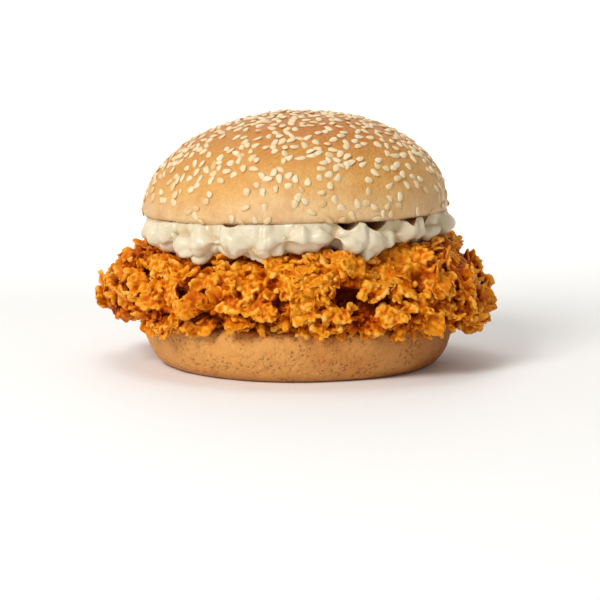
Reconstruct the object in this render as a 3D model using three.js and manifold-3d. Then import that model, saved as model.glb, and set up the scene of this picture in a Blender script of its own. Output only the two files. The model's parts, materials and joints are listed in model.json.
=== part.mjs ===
// A fried chicken burger in a seeded bun. Four solids lie on each other, from the table up:
//   bun_bottom      the bun's lower half, rounded off towards its flat foot
//   chicken_fillet  a craggy breaded fillet, wider than the bun, whose rim sags past it
//   sauce           thick sauce between fillet and bun, with drips over the fillet's shoulder
//   bun_top         the domed upper half, cut flat underneath, lying a little askew
// Millimetres, +Z up. The origin is the middle of the flat foot, and -Y is the front.
import * as THREE from "three";
import { ImprovedNoise } from "three/addons/math/ImprovedNoise.js";
import { mergeVertices } from "three/addons/utils/BufferGeometryUtils.js";
import Module from "manifold-3d";

// Driving dimensions.
const bunRadius = 52; // the bun at its widest
const restHeight = 17; // where the fillet lies on the lower half
const cutHeight = 50; // the middle of the upper half's cut face
const gap = 0.4; // air between touching solids

const bottom = {
  footRadius: 46,
  shoulderHeight: 11.5, // where the side is widest
  shoulderPower: 1.8,
  rimRound: 2.2,
  waviness: 0.5,
  segments: 56,
  rings: 6,
};

const fillet = {
  halfWidth: 65.1,
  halfDepth: 57.5,
  topHeight: 43.4,
  offCentre: -1.4,
  rimRings: 18,
  segments: 92,
  frontLift: 3.4, // the rim sags less at front and back, where it reaches less far
  sideLean: 2.4, // the left end is widest lower down than the right one
  lumpSize: 23,
  lumpDepth: 5,
  lumpShift: 32.1, // picks which lumps the noise gives
  cragSize: 10.5,
  cragDepth: 4.2,
};

const sauce = {
  radius: 51.2,
  offCentre: -1,
  lobes: 0.9,
  bottomHeight: 34, // of the blank, before the fillet is cut away from it
  segments: 72,
};

const top = {
  cutRadius: 50.3,
  lipHeight: 2.6,
  domeHeight: 35.2,
  domePower: 2, // 2 is an ellipse, more is squarer
  offCentre: -1.2,
  apexShift: 2, // the dome's summit lies this far right of its middle
  waviness: 0.5,
  segments: 56,
  rings: 12,
  tiltBack: 1.9, // degrees, front edge up
  tiltLeft: 1.4, // degrees, right edge up
};

const finishes = {
  bunBottom: { color: 0xd49a58, roughness: 0.62 },
  bunTop: { color: 0xdba566, roughness: 0.5 },
  crust: { color: 0xd98425, roughness: 0.55 },
  sauce: { color: 0xeae0bd, roughness: 0.25 },
};

const perlin = new ImprovedNoise();
const wasm = await Module();
wasm.setup();

// Shared helpers.

const smoothStep = (value, low, high) => THREE.MathUtils.smoothstep(value, low, high);

// Noise from about -1 to 1 at a point, with features of the given size.
function noiseAt(point, size, shift) {
  return perlin.noise(point.x / size + shift, point.y / size - shift, point.z / size + shift);
}

// A closed profile of (radius, height) points, turned about the Z axis.
function turned(profile, segments) {
  const geometry = new THREE.LatheGeometry(profile, segments);
  geometry.rotateX(Math.PI / 2);
  geometry.deleteAttribute("normal");
  geometry.deleteAttribute("uv");
  return mergeVertices(geometry, 1e-3);
}

// Moves every vertex by a function that changes the point it is given.
function shaped(geometry, move) {
  const position = geometry.attributes.position;
  const point = new THREE.Vector3();
  for (let i = 0; i < position.count; i += 1) {
    point.fromBufferAttribute(position, i);
    move(point, i);
    position.setXYZ(i, point.x, point.y, point.z);
  }
  geometry.computeVertexNormals();
  return geometry;
}

// A copy whose skin lies the given distance outside the original's.
function grown(geometry, distance) {
  const copy = geometry.clone();
  copy.computeVertexNormals();
  const normals = copy.attributes.normal.clone();
  const normal = new THREE.Vector3();
  return shaped(copy, (point, i) => {
    point.addScaledVector(normal.fromBufferAttribute(normals, i), distance);
  });
}

function solidOf(geometry) {
  const bare = geometry.clone();
  bare.deleteAttribute("normal");
  bare.deleteAttribute("uv");
  const merged = mergeVertices(bare, 1e-3);
  const mesh = new wasm.Mesh({
    numProp: 3,
    vertProperties: new Float32Array(merged.attributes.position.array),
    triVerts: new Uint32Array(merged.index.array),
  });
  return new wasm.Manifold(mesh);
}

// The largest piece of a solid, as a geometry.
function geometryOf(solid) {
  const pieces = solid.decompose().sort((a, b) => b.volume() - a.volume());
  const mesh = pieces[0].getMesh();
  const geometry = new THREE.BufferGeometry();
  geometry.setAttribute("position", new THREE.BufferAttribute(mesh.vertProperties, mesh.numProp));
  geometry.setIndex(new THREE.BufferAttribute(mesh.triVerts, 1));
  geometry.computeVertexNormals();
  return geometry;
}

function piece(name, geometry, finish) {
  const material = new THREE.MeshStandardMaterial({ ...finish, metalness: 0 });
  const mesh = new THREE.Mesh(geometry, material);
  mesh.name = name;
  return mesh;
}

// Pushes a point out or in along its own bearing, so that a turned shape isn't a true circle.
function waveOutline(point, depth, phase) {
  const bearing = Math.atan2(point.y, point.x);
  const wave = Math.sin(2 * bearing + phase) + 0.6 * Math.sin(5 * bearing - 2 * phase);
  const scale = 1 + (depth * wave) / bunRadius;
  point.x *= scale;
  point.y *= scale;
}

// The bun's lower half: a flat foot, a side that swells to the shoulder, and a rounded rim.
function bunBottomGeometry() {
  const { footRadius, shoulderHeight, shoulderPower, rimRound, rings } = bottom;
  const profile = [new THREE.Vector2(0, 0)];
  for (let i = 0; i <= rings; i += 1) {
    const height = (shoulderHeight * i) / rings;
    const inset = (bunRadius - footRadius) * (1 - i / rings) ** shoulderPower;
    profile.push(new THREE.Vector2(bunRadius - inset, height));
  }
  for (let i = 0; i <= 3; i += 1) {
    const angle = (i / 3) * (Math.PI / 2);
    const radius = bunRadius - rimRound * (1 - Math.cos(angle));
    profile.push(new THREE.Vector2(radius, restHeight - rimRound * (1 - Math.sin(angle))));
  }
  profile.push(new THREE.Vector2(0, restHeight));
  return shaped(turned(profile, bottom.segments), (point) => {
    waveOutline(point, bottom.waviness, 0.8);
  });
}

// The fillet's section, from the middle of its underside round the rim to the middle of its top:
// flat on the bun, a rim that droops past it, widest low down, then a shoulder up to the flat top.
function filletSection() {
  const { halfWidth, topHeight, rimRings } = fillet;
  const underside = restHeight + gap;
  const rim = [
    [0.66, underside],
    [0.79, underside - 4],
    [0.9, underside - 5],
    [0.975, underside - 0.6],
    [1, underside + 6],
    [0.975, underside + 12],
    [0.92, underside + 18],
    [0.84, topHeight - 2.6],
    [0.74, topHeight - 0.5],
    [0.62, topHeight],
  ];
  const points = rim.map(([reach, height]) => new THREE.Vector2(reach * halfWidth, height));
  const curve = new THREE.SplineCurve(points);
  const start = new THREE.Vector2(0, underside);
  const end = new THREE.Vector2(0, topHeight);
  return [start, ...curve.getSpacedPoints(rimRings), end];
}

// How far the breading stands out at a point: broad lumps, with folded crags on them.
function breadingDepth(point) {
  const lump = fillet.lumpDepth * noiseAt(point, fillet.lumpSize, fillet.lumpShift);
  const fold = 1 - 2.6 * Math.abs(noiseAt(point, fillet.cragSize, 2 * fillet.lumpShift));
  return lump + fillet.cragDepth * (fold - 0.5) * 0.6;
}

function filletGeometry() {
  const { halfWidth, halfDepth, offCentre, frontLift, sideLean } = fillet;
  const form = shaped(turned(filletSection(), fillet.segments), (point) => {
    const reach = Math.hypot(point.x, point.y) / halfWidth;
    const side = point.x / halfWidth;
    const rim = smoothStep(reach, 0.6, 1);
    const high = smoothStep(point.z, restHeight - 3, restHeight + 10);
    point.z += rim * (sideLean * side * high + frontLift * (1 - high) * (1 - side * side));
    point.y *= halfDepth / halfWidth;
    waveOutline(point, 1, 2.1);
  });
  const normals = form.attributes.normal.clone();
  const normal = new THREE.Vector3();
  return shaped(form, (point, i) => {
    const reach = Math.hypot(point.x / halfWidth, point.y / halfDepth);
    const exposed = smoothStep(reach, 0.64, 0.84);
    normal.fromBufferAttribute(normals, i);
    point.addScaledVector(normal, exposed * breadingDepth(point));
    point.x += offCentre;
  });
}

// The sauce's drips. Bearings are degrees from the front, positive to the right.
function drips() {
  const front = [
    { bearing: -84, spread: 8, drop: 6 },
    { bearing: -62, spread: 7, drop: 8 },
    { bearing: -42, spread: 7, drop: 13.8 },
    { bearing: -28, spread: 5, drop: 8 },
    { bearing: -13, spread: 8.5, drop: 11.8 },
    { bearing: 2, spread: 6, drop: 6.4 },
    { bearing: 25.5, spread: 7.5, drop: 11.6 },
    { bearing: 37, spread: 4.5, drop: 8.4 },
    { bearing: 57, spread: 6.5, drop: 8.2 },
    { bearing: 72, spread: 5, drop: 6.6 },
    { bearing: 84, spread: 7, drop: 6 },
  ];
  const back = [];
  const spacing = 17.5;
  for (let bearing = 100; bearing < 270; bearing += spacing) {
    const chance = perlin.noise(bearing * 0.37, 4.2, 1.9);
    back.push({ bearing, spread: 7.5 + 3 * chance, drop: 9 + 7 * chance });
  }
  return front.concat(back);
}

// How far the sauce hangs below the bun's cut face on a bearing given in degrees.
function sauceDrop(bearing, allDrips) {
  const least = 5;
  return allDrips.reduce((deepest, { bearing: middle, spread, drop }) => {
    const away = Math.abs(THREE.MathUtils.euclideanModulo(bearing - middle + 180, 360) - 180);
    const bump = Math.exp(-((away / spread) ** 2));
    return Math.max(deepest, least + (drop - least) * bump);
  }, least);
}

// The layer of sauce fills the space between fillet and bun top. Its outside is a thick lip that
// stands out a little further wherever it hangs lower.
function sauceGeometry(filletSkin, topSkin) {
  const { radius, offCentre, lobes, bottomHeight, segments } = sauce;
  const allDrips = drips();
  const lip = [
    [-7, -0.2],
    [-3.4, -0.12],
    [-1, 0.02],
    [0.4, 0.3],
    [0.2, 0.66],
    [-0.8, 1],
  ];
  const profile = [new THREE.Vector2(0, bottomHeight), new THREE.Vector2(radius - 9, bottomHeight)];
  lip.forEach(([outward, up]) => {
    profile.push(new THREE.Vector2(radius + outward, cutHeight + up));
  });
  profile.push(new THREE.Vector2(radius - 1.6, cutHeight + 3), new THREE.Vector2(0, cutHeight + 3));
  const layer = shaped(turned(profile, segments), (point) => {
    const up = point.z - cutHeight;
    const bearing = THREE.MathUtils.radToDeg(Math.atan2(point.x, -point.y));
    const drop = sauceDrop(bearing, allDrips);
    const reach = Math.hypot(point.x, point.y);
    if (Math.abs(up) <= 1 && reach > 1) {
      const swell = (1 - Math.abs(2 * up - 0.6)) * 0.16 * drop;
      point.z = cutHeight - drop * (1 - up) + sideTilt(point);
      point.x *= 1 + swell / reach;
      point.y *= 1 + swell / reach;
    }
    waveOutline(point, lobes, 5.2);
    point.x += offCentre;
  });
  return geometryOf(solidOf(layer).subtract(filletSkin).subtract(topSkin).simplify(0.15));
}

// The height that the bun top's tilt adds at a point of its cut face.
function sideTilt(point) {
  const left = Math.tan(THREE.MathUtils.degToRad(top.tiltLeft));
  const back = Math.tan(THREE.MathUtils.degToRad(top.tiltBack));
  return left * point.x - back * point.y;
}

// The bun's upper half, on its own cut face: a small lip, then the dome.
function bunTopGeometry() {
  const { cutRadius, lipHeight, domeHeight, domePower, apexShift, rings } = top;
  const profile = [new THREE.Vector2(0, 0)];
  for (let i = 0; i < 3; i += 1) {
    const angle = (i / 3) * (Math.PI / 2);
    const radius = cutRadius + (bunRadius - cutRadius) * Math.sin(angle);
    profile.push(new THREE.Vector2(radius, lipHeight * (1 - Math.cos(angle))));
  }
  for (let i = 0; i < rings; i += 1) {
    const angle = (i / rings) * (Math.PI / 2);
    const radius = bunRadius * Math.cos(angle) ** (2 / domePower);
    const height = (domeHeight - lipHeight) * Math.sin(angle) ** (2 / domePower);
    profile.push(new THREE.Vector2(radius, lipHeight + height));
  }
  profile.push(new THREE.Vector2(0, domeHeight));
  return shaped(turned(profile, top.segments), (point) => {
    waveOutline(point, top.waviness, 3.4);
    point.x += apexShift * Math.max(point.z / domeHeight, 0) ** 1.5;
  });
}

// The solids, each cut back from the one that it lies on.
const bunBottom = piece("bun_bottom", bunBottomGeometry(), finishes.bunBottom);

const bunTop = piece("bun_top", bunTopGeometry(), finishes.bunTop);
bunTop.position.set(top.offCentre, 0, cutHeight);
bunTop.rotation.x = THREE.MathUtils.degToRad(-top.tiltBack);
bunTop.rotation.y = THREE.MathUtils.degToRad(-top.tiltLeft);
bunTop.updateMatrixWorld();

const filletForm = filletGeometry();
const bottomSkin = solidOf(grown(bunBottom.geometry, gap));
const filletSolid = solidOf(filletForm).subtract(bottomSkin);
const chickenFillet = piece("chicken_fillet", geometryOf(filletSolid), finishes.crust);

const filletSkin = solidOf(grown(filletForm, gap));
const topSkin = solidOf(grown(bunTop.geometry, gap).applyMatrix4(bunTop.matrixWorld));
const sauceLayer = piece("sauce", sauceGeometry(filletSkin, topSkin), finishes.sauce);

const burger = new THREE.Group();
burger.add(bunBottom, chickenFillet, sauceLayer, bunTop);

export default burger;
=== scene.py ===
import itertools
import json
import math

import bmesh
import bpy
import numpy as np
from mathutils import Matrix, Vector
from mathutils.bvhtree import BVHTree

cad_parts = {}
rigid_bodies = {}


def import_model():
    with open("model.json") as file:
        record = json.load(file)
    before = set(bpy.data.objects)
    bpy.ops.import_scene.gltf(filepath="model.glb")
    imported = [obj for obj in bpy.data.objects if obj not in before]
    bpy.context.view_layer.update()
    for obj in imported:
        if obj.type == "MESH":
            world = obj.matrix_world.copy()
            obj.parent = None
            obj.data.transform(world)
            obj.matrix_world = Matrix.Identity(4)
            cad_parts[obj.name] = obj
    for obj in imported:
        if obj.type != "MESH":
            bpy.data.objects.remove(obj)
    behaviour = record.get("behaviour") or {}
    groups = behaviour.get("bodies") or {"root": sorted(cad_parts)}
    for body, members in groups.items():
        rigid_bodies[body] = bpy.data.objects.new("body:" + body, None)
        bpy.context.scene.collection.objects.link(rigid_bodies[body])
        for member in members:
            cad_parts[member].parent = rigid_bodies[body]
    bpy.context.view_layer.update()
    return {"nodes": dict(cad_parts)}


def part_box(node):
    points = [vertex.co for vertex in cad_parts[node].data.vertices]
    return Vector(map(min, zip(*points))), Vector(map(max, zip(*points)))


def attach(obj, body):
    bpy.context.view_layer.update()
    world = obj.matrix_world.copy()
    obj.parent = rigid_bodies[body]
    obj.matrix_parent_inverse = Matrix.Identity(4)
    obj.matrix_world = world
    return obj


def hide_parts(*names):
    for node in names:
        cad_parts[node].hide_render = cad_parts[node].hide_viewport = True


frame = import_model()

mm = 0.001
rng = np.random.default_rng(7)


# Numbers to shape with.
def smoothStep(low, high, value):
    t = np.clip((value - low) / (high - low), 0, 1)
    return t * t * (3 - 2 * t)


def latticeHash(cell, seed):
    c = cell.astype(np.int64).astype(np.uint64)
    h = c[..., 0] * np.uint64(73856093)
    h = h ^ (c[..., 1] * np.uint64(19349663)) ^ (c[..., 2] * np.uint64(83492791))
    h = (h ^ np.uint64(seed * 2654435761 + 97)) & np.uint64(0xFFFFFFFF)
    h = ((h ^ (h >> np.uint64(15))) * np.uint64(739994557)) & np.uint64(0xFFFFFFFF)
    h = ((h ^ (h >> np.uint64(13))) * np.uint64(695872825)) & np.uint64(0xFFFFFFFF)
    return h ^ (h >> np.uint64(16))


def hashedVector(h):
    parts = [((h >> np.uint64(s)) & np.uint64(1023)).astype(float) / 511.5 - 1 for s in (0, 10, 20)]
    return np.stack(parts, -1)


# smooth noise, about -1 to 1, with features of the given size in metres
def softNoise(points, size, seed):
    p = points / size + 13.7 * seed
    cell = np.floor(p)
    f = p - cell
    u = f * f * f * (f * (f * 6 - 15) + 10)
    total = np.zeros(points.shape[:-1])
    for corner in itertools.product((0, 1), repeat=3):
        g = hashedVector(latticeHash(cell + corner, seed))
        w = np.prod(np.where(corner, u, 1 - u), -1)
        total += w * np.sum(g * (f - corner), -1)
    return 1.5 * total


# the distances to the nearest and second nearest of scattered cell middles, in units of size,
# and the way from the nearest one
def cellNoise(points, size, seed):
    p = points / size + 5.3 * seed
    cell = np.floor(p)
    first = np.full(points.shape[:-1], 9.0)
    second = first.copy()
    away = np.zeros(points.shape)
    for step in itertools.product((-1, 0, 1), repeat=3):
        near = cell + step
        middle = near + 0.5 + 0.45 * hashedVector(latticeHash(near, seed))
        d = lengthOf(p - middle)
        second = np.minimum(second, np.maximum(first, d))
        away = np.where((d < first)[..., None], p - middle, away)
        first = np.minimum(first, d)
    return first, second, away


def noiseVector(points, size, seed):
    return np.stack([softNoise(points, size, seed + i) for i in range(3)], -1)


def lengthOf(vectors):
    return np.linalg.norm(vectors, axis=-1)


def unit(vectors):
    return vectors / np.maximum(lengthOf(vectors)[..., None], 1e-12)


# distances from the upright line through the burger's middle
def fromAxis(points):
    return np.hypot(points[..., 0], points[..., 1])


# vectors laid flat on the surface that has these normals
def flattened(vectors, normals):
    return unit(vectors - np.sum(vectors * normals, -1, keepdims=True) * normals)


# sets each form's local points on its spot, along three axes of its own
def placed(local, spots, along, across, up):
    points = spots[:, None] + local[..., :1] * along[:, None]
    return points + local[..., 1:2] * across[:, None] + local[..., 2:] * up[:, None]


# Meshes.
def newMesh(name, points, faces):
    mesh = bpy.data.meshes.new(name)
    mesh.from_pydata(points, [], faces)
    return mesh


def newObject(name, data):
    made = bpy.data.objects.new(name, data)
    bpy.context.scene.collection.objects.link(made)
    return made


def makePiece(name, points, faces, slotName, material, fields):
    mesh = newMesh(name, points.reshape(-1, 3).tolist(), faces)
    for key, values in fields.items():
        attribute = mesh.attributes.new(key, "FLOAT", "POINT")
        attribute.data.foreach_set("value", np.asarray(values, np.float32).ravel())
    mesh.shade_smooth()
    mesh.update()
    mesh.materials.append(material)
    piece = newObject(name, mesh)
    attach(piece, "root")
    return piece


# a mesh's points, by "co", or its point normals, by "normal"
def meshVectors(mesh, key):
    values = np.empty(len(mesh.vertices) * 3, np.float32)
    mesh.vertices.foreach_get(key, values)
    return values.reshape(-1, 3).astype(float)


def triangleCount(mesh):
    return sum(len(p.vertices) - 2 for p in mesh.polygons)


def withModifiers(piece):
    depsgraph = bpy.context.evaluated_depsgraph_get()
    return bpy.data.meshes.new_from_object(piece.evaluated_get(depsgraph))


def treeOf(node):
    mesh = frame["nodes"][node].data
    return BVHTree.FromPolygons([v.co for v in mesh.vertices], [p.vertices for p in mesh.polygons])


# quads over a grid whose columns close into a ring, and triangles from its first and last rows
# to two poles, which are numbered after the grid
def ringFaces(columns, rows):
    faces = []
    for c in range(columns):
        d = (c + 1) % columns
        for r in range(rows - 1):
            faces.append((c * rows + r, d * rows + r, d * rows + r + 1, c * rows + r + 1))
    low = columns * rows
    for c in range(columns):
        d = (c + 1) % columns
        faces.append((low, d * rows, c * rows))
        faces.append((low + 1, c * rows + rows - 1, d * rows + rows - 1))
    return faces


# the points and faces of a ring grid with its poles
def closedGrid(grid, poles=None):
    if poles is None:
        poles = [grid[:, 0].mean(0), grid[:, -1].mean(0)]
    return np.concatenate([grid.reshape(-1, 3), poles]), ringFaces(*grid.shape[:2])


# a field over a ring grid, with nothing at its poles
def closedField(values):
    return np.append(values.ravel(), [0, 0])


def smoothRing(values):
    return (np.roll(values, 1, 0) + 2 * values + np.roll(values, -1, 0)) / 4


# [1 2 1] smoothing of a grid of distances, round the ring and along the rows
def smoothGrid(values, times):
    for _ in range(times):
        values = smoothRing(values)
        padded = np.concatenate([values[:, :1], values, values[:, -1:]], 1)
        values = (padded[:, :-2] + 2 * padded[:, 1:-1] + padded[:, 2:]) / 4
    return values


def gridNormals(points):
    around = np.roll(points, -1, 0) - np.roll(points, 1, 0)
    along = np.gradient(points, axis=1)
    return unit(np.cross(around, along))


# the same smoothing for a grid of points
def smoothPoints(grid, times):
    return np.stack([smoothGrid(grid[..., i], times) for i in range(3)], -1)


# A fine smooth skin over a CAD solid. Rays leave a flat ring inside it, fan out from straight
# down to straight up, and stop at the solid.
def skinGrid(tree, centre, ring, size, smooth=smoothGrid):
    columns, rows = size["columns"], size["rows"]
    bearings = np.linspace(0, 2 * math.pi, columns, endpoint=False)
    rises = np.linspace(-math.pi / 2, math.pi / 2, rows)
    outward = np.stack([np.cos(bearings), np.sin(bearings), 0 * bearings], -1)
    starts = np.array(centre) + outward * np.array([ring[0], ring[1], 0])
    up = np.array([0, 0, 1.0])
    rays = np.cos(rises)[None, :, None] * outward[:, None] + np.sin(rises)[None, :, None] * up
    reach = np.zeros((columns, rows))
    for c in range(columns):
        start = Vector(starts[c])
        for r in range(rows):
            reach[c, r] = tree.ray_cast(start, Vector(rays[c, r]))[3]
    return starts[:, None] + rays * smooth(reach, size["smoothing"])[..., None]


# Materials.
class Finish:
    def __init__(self, name):
        self.material = bpy.data.materials.new(name)
        self.material.use_nodes = True
        self.tree = self.material.node_tree
        self.shader = self.tree.nodes["Principled BSDF"]

    def feed(self, socket, value):
        if isinstance(value, bpy.types.NodeSocket):
            self.tree.links.new(value, socket)
        else:
            socket.default_value = value

    def set(self, name, value):
        self.feed(self.shader.inputs[name], value)

    def node(self, kind, inputs, **settings):
        made = self.tree.nodes.new(kind)
        for key, value in settings.items():
            setattr(made, key, value)
        for key, value in inputs.items():
            self.feed(made.inputs[key], value)
        return made

    def place(self):
        return self.node("ShaderNodeTexCoord", {}).outputs["Object"]

    def field(self, name):
        return self.node("ShaderNodeAttribute", {}, attribute_name=name).outputs["Fac"]

    def noise(self, sizeMm, detail=3, roughness=0.6):
        inputs = {"Vector": self.place(), "Scale": 1 / (sizeMm * mm), "Detail": detail}
        inputs["Roughness"] = roughness
        return self.node("ShaderNodeTexNoise", inputs).outputs["Fac"]

    # how far each point is from the nearest of scattered dots, in units of their spacing
    def dots(self, sizeMm):
        inputs = {"Vector": self.place(), "Scale": 1 / (sizeMm * mm)}
        return self.node("ShaderNodeTexVoronoi", inputs).outputs["Distance"]

    def span(self, value, fromLow, fromHigh, toLow, toHigh):
        inputs = {0: value, 1: fromLow, 2: fromHigh, 3: toLow, 4: toHigh}
        return self.node("ShaderNodeMapRange", inputs).outputs[0]

    def sum(self, a, b, operation="ADD"):
        return self.node("ShaderNodeMath", {0: a, 1: b}, operation=operation).outputs[0]

    def times(self, a, b):
        return self.sum(a, b, "MULTIPLY")

    def ramp(self, value, stops):
        ramp = self.node("ShaderNodeValToRGB", {"Fac": value})
        elements = ramp.color_ramp.elements
        while len(elements) < len(stops):
            elements.new(0.5)
        for element, (at, colour) in zip(elements, stops):
            element.position = at
            element.color = (*linear(colour), 1)
        return ramp.outputs["Color"]

    # takes a colour some way towards a tint
    def mix(self, amount, colour, tint):
        inputs = {0: amount, 6: colour, 7: (*linear(tint), 1)}
        return self.node("ShaderNodeMix", inputs, data_type="RGBA").outputs[2]

    def bump(self, height, distanceMm, strength):
        inputs = {"Height": height, "Distance": distanceMm * mm, "Strength": strength}
        self.set("Normal", self.node("ShaderNodeBump", inputs).outputs["Normal"])

    def surface(self, colour, roughness, specular=0.5):
        self.set("Base Color", colour)
        self.set("Roughness", roughness)
        self.set("Specular IOR Level", specular)

    def flesh(self, weight, scaleMm, radius):
        self.set("Subsurface Weight", weight)
        self.set("Subsurface Scale", scaleMm * mm)
        self.set("Subsurface Radius", radius)


# colours are written as the eye reads them, 0 to 255
def linear(colour):
    c = np.array(colour[:3], float) / 255
    return tuple(np.where(c <= 0.04045, c / 12.92, ((c + 0.055) / 1.055) ** 2.4))


# Light, floor and camera.
studio = {
    "floor": (244, 245, 245),
    "world": (1.0, 0.955, 0.9),
    "worldStrength": 0.41,
    # each light's name, place, aim, size, watts and colour
    "lights": [
        ("key", (-0.6, -0.83, 0.8), (0, 0, 0.04), 0.5, 11.4, (1, 0.985, 0.965)),
        ("top", (-0.15, 0.15, 1.1), (0, 0, 0.03), 0.6, 2.4, (1, 0.99, 0.97)),
        ("backdrop", (0, 0.5, 1.2), (0, 2.0, 0.75), 1.0, 26, (1, 0.99, 0.97)),
    ],
}


def aimAt(thing, place, aim):
    thing.location = place
    thing.rotation_euler = (Vector(aim) - Vector(place)).to_track_quat("-Z", "Y").to_euler()


def addLight(name, place, aim, size, watts, colour):
    data = bpy.data.lights.new(name, "AREA")
    data.shape = "DISK"
    data.size = size
    data.energy = watts
    data.color = colour
    aimAt(newObject(name, data), place, aim)


def addStudio():
    scene = bpy.context.scene
    scene.view_settings.view_transform = "Standard"
    world = bpy.data.worlds.new("studio")
    world.use_nodes = True
    background = world.node_tree.nodes["Background"]
    background.inputs["Color"].default_value = (*studio["world"], 1)
    background.inputs["Strength"].default_value = studio["worldStrength"]
    scene.world = world
    for light in studio["lights"]:
        addLight(*light)
    makeFloor()


# a floor that curves up into a wall behind the burger
def makeFloor():
    half, flat, bend, wall = 3.0, 0.8, 1.2, 3.0
    steps = 16
    outline = [(-half, 0.0), (flat, 0.0)]
    for i in range(1, steps + 1):
        a = math.pi / 2 * i / steps
        outline.append((flat + bend * math.sin(a), bend * (1 - math.cos(a))))
    outline.append((flat + bend, wall))
    points = [(x, y, z) for y, z in outline for x in (-half, half)]
    faces = [(2 * i, 2 * i + 1, 2 * i + 3, 2 * i + 2) for i in range(len(outline) - 1)]
    finish = Finish("studio_floor")
    finish.surface((*linear(studio["floor"]), 1), 0.7)
    mesh = newMesh("floor", points, faces)
    mesh.materials.append(finish.material)
    mesh.shade_smooth()
    floor = newObject("floor", mesh)


view = {
    "distance": 0.8,  # along the floor, from the middle of the burger
    "elevation": 8.25,
    "aim": (0.0002, 0, 0.0206),
    "frameWidth": 0.2052,  # what the picture spans at the burger's middle
}


def addCamera():
    data = bpy.data.cameras.new("camera")
    aim = Vector(view["aim"])
    rise = view["distance"] * math.tan(math.radians(view["elevation"]))
    place = aim + Vector((0, -view["distance"], rise))
    data.lens = data.sensor_width * (place - aim).length / view["frameWidth"]
    data.clip_end = 20
    camera = newObject("camera", data)
    aimAt(camera, place, aim)
    bpy.context.scene.camera = camera


addStudio()
addCamera()
print("studio and camera are up")


# The bun.
bunTop = {
    "columns": 300,
    "rows": 96,
    "smoothing": 14,
    "cutCentre": (-0.0012, 0, 0.050),  # middle of the cut face
    "tilt": (-1.4, 1.9),  # degrees: right edge up, front edge up
    "inside": 8 * mm,  # how far above the cut face the rays start
    "ring": (14 * mm, 14 * mm),
    "crownRings": 16,
    "dents": 0.3 * mm,
    "wrinkles": 0.12 * mm,
    "ragged": 0.35 * mm,  # the edge of the cut face
    "raggedFrom": 46 * mm,
}
bunTopAxis = unit(np.array([math.sin(math.radians(a)) for a in bunTop["tilt"]] + [1]))


def bunDomeFinish():
    f = Finish("baked_dome")
    wander = f.sum(f.field("rise"), f.span(f.noise(24, 3, 0.55), 0.25, 0.75, -0.13, 0.13))
    stops = [
        (0.0, (229, 197, 152)),
        (0.12, (227, 190, 138)),
        (0.36, (217, 165, 92)),
        (0.62, (202, 139, 58)),
        (0.85, (187, 114, 34)),
        (1.0, (176, 103, 28)),
    ]
    colour = f.ramp(wander, stops)
    speckle = f.noise(1.1, 5, 0.75)
    colour = f.mix(f.span(speckle, 0.42, 0.7, 0.0, 0.35), colour, (233, 189, 120))
    colour = f.mix(f.span(speckle, 0.52, 0.32, 0.0, 0.22), colour, (190, 120, 48))
    blotch = f.noise(8, 4, 0.65)
    colour = f.mix(f.span(blotch, 0.45, 0.75, 0.0, 0.45), colour, (190, 116, 40))
    colour = f.mix(f.times(f.field("edge"), 0.75), colour, (178, 110, 52))
    f.surface(colour, f.span(f.noise(5), 0.3, 0.7, 0.4, 0.56), 0.32)
    f.flesh(0.12, 1.6, (1.0, 0.55, 0.25))
    grain = f.sum(f.noise(0.8, 4, 0.7), f.times(f.noise(2.6), 1.8))
    f.bump(grain, 0.34, 0.8)
    return f.material


def riseOf(points):
    return (points - np.array(bunTop["cutCentre"])) @ bunTopAxis


# smoothed well on the dome, but hardly at all at the lip, which stays crisp
def lipReach(reach, times):
    rises = np.linspace(-90, 90, reach.shape[1])
    lip = smoothStep(-24, -16, rises) * (1 - smoothStep(-5, 4, rises))
    crisp = smoothGrid(reach, 1)
    for _ in range(10):
        crisp = smoothRing(crisp)
    return crisp * lip + smoothGrid(reach, times) * (1 - lip)


# adds smaller and smaller rings inside the last one, up to the crown
def withCrown(tree, grid, count):
    last = grid[:, -1]
    middle = last.mean(0)
    above = Vector((middle[0], middle[1], 0.2))
    crown = tree.ray_cast(above, Vector((0, 0, -1)))[0].z
    rings = []
    for share in 1 - np.arange(1, count) / count:
        ring = middle + (last - middle) * share
        ring[:, 2] = crown + (last[:, 2] - crown) * share ** 2
        rings.append(ring)
    return np.concatenate([grid, np.stack(rings, 1)], 1)


def makeBunTop():
    size = bunTop
    tree = treeOf("bun_top")
    centre = np.array(size["cutCentre"]) + size["inside"] * bunTopAxis
    grid = skinGrid(tree, centre, size["ring"], size, lipReach)
    grid = withCrown(tree, grid, size["crownRings"])
    normals = gridNormals(grid)
    outer = smoothStep(-0.1 * mm, 3 * mm, riseOf(grid))
    relief = size["dents"] * softNoise(grid, 9 * mm, 3) + size["wrinkles"] * softNoise(grid, 2.4 * mm, 4)
    ragged = (1 - outer) * size["ragged"] * softNoise(grid, 1.6 * mm, 10)
    ragged = ragged * (fromAxis(grid) > size["raggedFrom"])
    grid = grid + normals * (outer * relief + ragged)[..., None]
    points, faces = closedGrid(grid)
    rise = riseOf(points)
    toasted = rise - 0.9 * mm * softNoise(points, 6 * mm, 32) - 0.6 * mm * softNoise(points, 1.5 * mm, 33)
    fields = {
        "rise": np.clip(rise / (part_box("bun_top")[1].z - size["cutCentre"][2]), 0, 1),
        "edge": 1 - smoothStep(-0.1 * mm, 1.0 * mm, toasted),
    }
    piece = makePiece("bun_top_skin", points, faces, "bun_dome", bunDomeFinish(), fields)
    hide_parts("bun_top")
    return grid, normals


domeGrid, domeNormals = makeBunTop()
print("bun top baked")


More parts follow.
